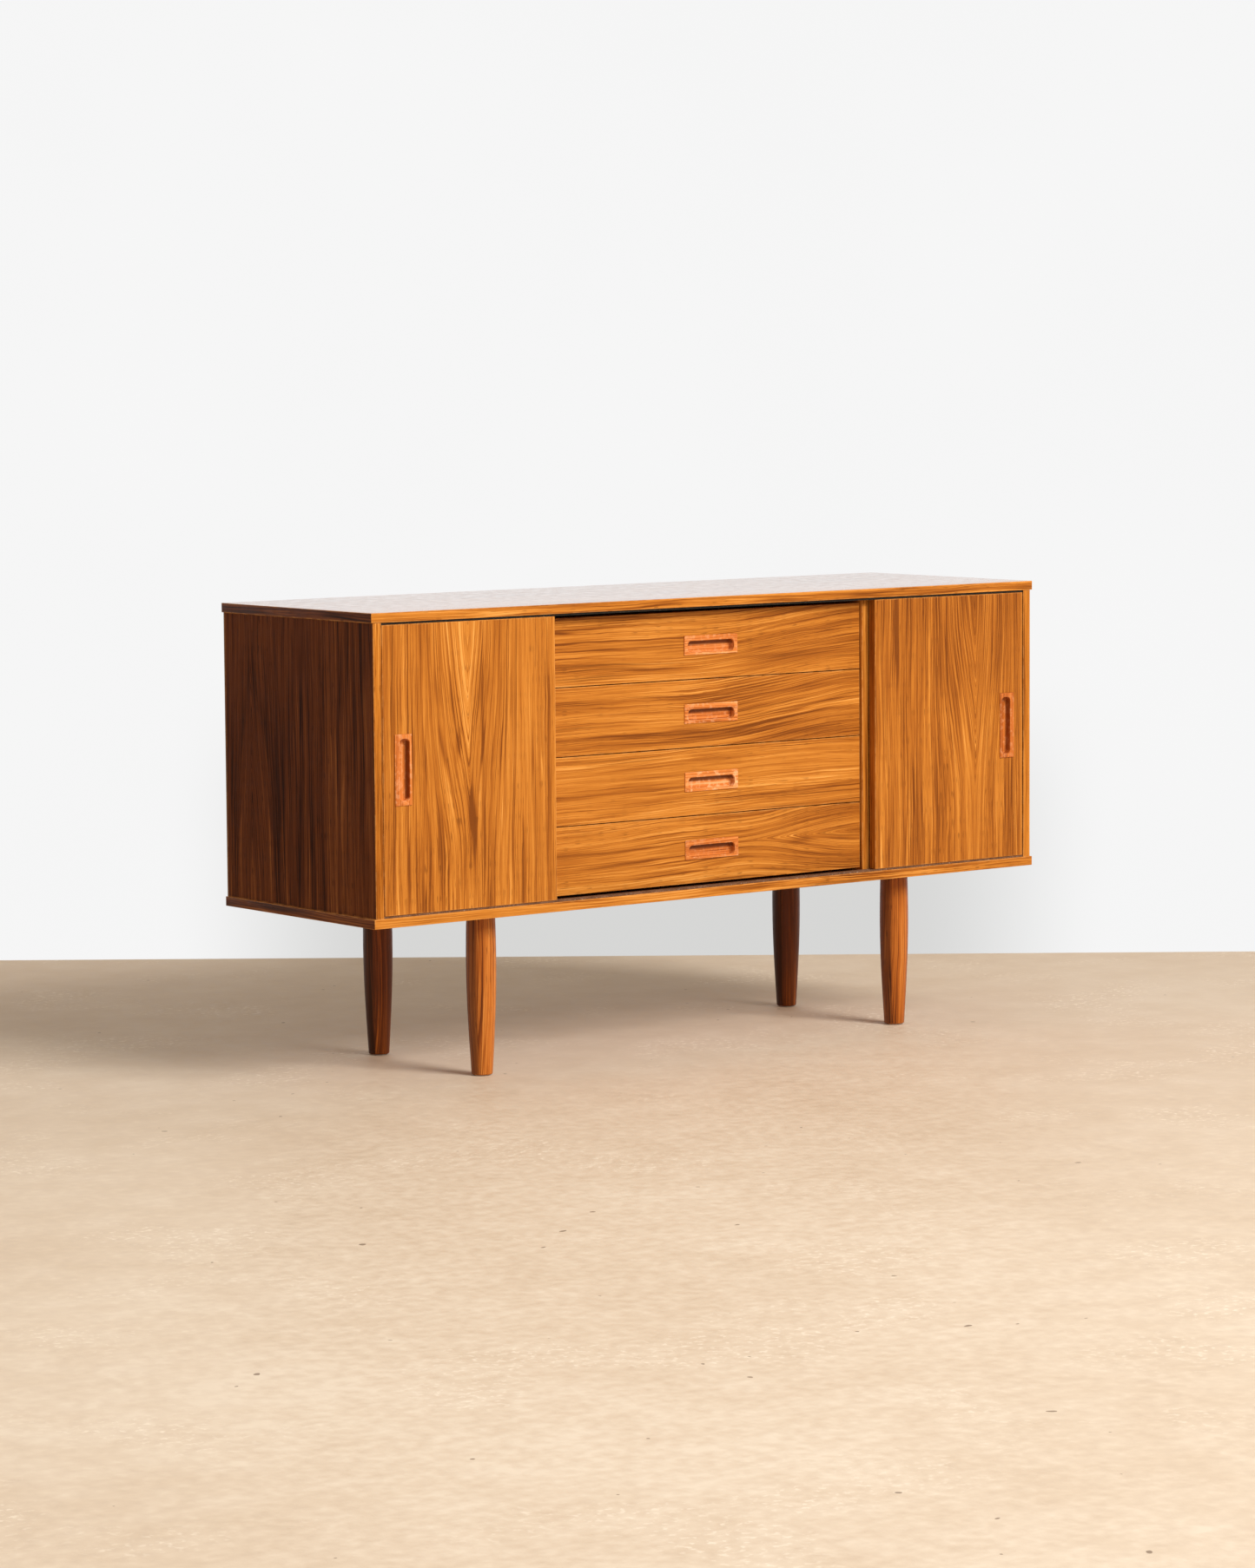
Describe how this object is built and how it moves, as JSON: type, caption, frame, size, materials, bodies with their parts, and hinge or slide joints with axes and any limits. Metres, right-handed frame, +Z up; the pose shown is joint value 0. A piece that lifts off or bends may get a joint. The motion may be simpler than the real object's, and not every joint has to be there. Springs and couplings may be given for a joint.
{
  "type": "sideboard",
  "caption": "Long low teak-veneered sideboard on turned legs: a stack of drawers between two compartments with sliding doors, all with inset wooden pulls.",
  "frame": {"origin": "on the floor, under the middle of the cabinet's outer box", "axes": "+X to the right seen from the front, along the length; +Y from the front to the back; +Z up"},
  "size_m": [1.44, 0.44, 0.784],
  "materials": {
    "slab_teak": "satin clear lacquer on teak-grain veneer, grain along the length",
    "upright_teak": "satin clear lacquer on teak-grain veneer, upright grain",
    "shelf_teak": "satin clear lacquer on teak-grain veneer",
    "door_teak": "satin clear lacquer on teak-grain veneer, upright grain",
    "drawer_front_teak": "satin clear lacquer on teak-grain veneer, level grain",
    "pull_hardwood": "oiled reddish solid teak, handled edges",
    "leg_teak": "satin lacquer on turned solid teak, small pale nicks near the foot",
    "drawer_box_wood": "clear-lacquered pale wood",
    "hardboard": "smooth brown hardboard",
    "runner_beech": "planed beech, waxed",
    "dowel_beech": "fluted beech dowel, glued",
    "track_black": "extruded black plastic",
    "track_brown": "extruded brown plastic, dusty",
    "glide_plastic": "white moulded nylon",
    "zinc_steel": "zinc-plated steel"
  },
  "bodies": {
    "case": {"back_panel": "hardboard", "back_panel_nails": "zinc_steel", "bottom_panel": "slab_teak", "case_dowels": "dowel_beech", "divider_left": "upright_teak", "divider_right": "upright_teak", "drawer_runners_left": "runner_beech", "drawer_runners_right": "runner_beech", "foot_glides": "glide_plastic", "leg_back_left": "leg_teak", "leg_back_right": "leg_teak", "leg_front_left": "leg_teak", "leg_front_right": "leg_teak", "leg_hanger_bolts": "zinc_steel", "leg_insert_nuts": "zinc_steel", "lower_track": "track_brown", "runner_screws": "zinc_steel", "shelf_left": "shelf_teak", "shelf_pins": "zinc_steel", "shelf_right": "shelf_teak", "side_panel_left": "upright_teak", "side_panel_right": "upright_teak", "top_panel": "slab_teak", "upper_track": "track_black"},
    "left_door": {"door_left": "door_teak", "door_pull_left": "pull_hardwood", "door_glides_left": "glide_plastic", "door_guides_left": "glide_plastic"},
    "right_door": {"door_right": "door_teak", "door_pull_right": "pull_hardwood", "door_glides_right": "glide_plastic", "door_guides_right": "glide_plastic"},
    "drawer_1": {"drawer_1_back": "drawer_box_wood", "drawer_1_bottom": "hardboard", "drawer_1_dowels": "dowel_beech", "drawer_1_front": "drawer_front_teak", "drawer_1_pull": "pull_hardwood", "drawer_1_side_left": "drawer_box_wood", "drawer_1_side_right": "drawer_box_wood"},
    "drawer_2": {"drawer_2_back": "drawer_box_wood", "drawer_2_bottom": "hardboard", "drawer_2_dowels": "dowel_beech", "drawer_2_front": "drawer_front_teak", "drawer_2_pull": "pull_hardwood", "drawer_2_side_left": "drawer_box_wood", "drawer_2_side_right": "drawer_box_wood"},
    "drawer_3": {"drawer_3_back": "drawer_box_wood", "drawer_3_bottom": "hardboard", "drawer_3_dowels": "dowel_beech", "drawer_3_front": "drawer_front_teak", "drawer_3_pull": "pull_hardwood", "drawer_3_side_left": "drawer_box_wood", "drawer_3_side_right": "drawer_box_wood"},
    "drawer_4": {"drawer_4_back": "drawer_box_wood", "drawer_4_bottom": "hardboard", "drawer_4_dowels": "dowel_beech", "drawer_4_front": "drawer_front_teak", "drawer_4_pull": "pull_hardwood", "drawer_4_side_left": "drawer_box_wood", "drawer_4_side_right": "drawer_box_wood"}
  },
  "joints": [
    {"name": "left_door_slide", "type": "slide", "parent": "case", "child": "left_door", "axis": [-1, 0, 0], "range_m": [-0.349, 0]},
    {"name": "right_door_slide", "type": "slide", "parent": "case", "child": "right_door", "axis": [1, 0, 0], "range_m": [-0.349, 0]},
    {"name": "drawer_1_slide", "type": "slide", "parent": "case", "child": "drawer_1", "axis": [0, -1, 0], "range_m": [0, 0.3]},
    {"name": "drawer_2_slide", "type": "slide", "parent": "case", "child": "drawer_2", "axis": [0, -1, 0], "range_m": [0, 0.3]},
    {"name": "drawer_3_slide", "type": "slide", "parent": "case", "child": "drawer_3", "axis": [0, -1, 0], "range_m": [0, 0.3]},
    {"name": "drawer_4_slide", "type": "slide", "parent": "case", "child": "drawer_4", "axis": [0, -1, 0], "range_m": [0, 0.3]}
  ]
}
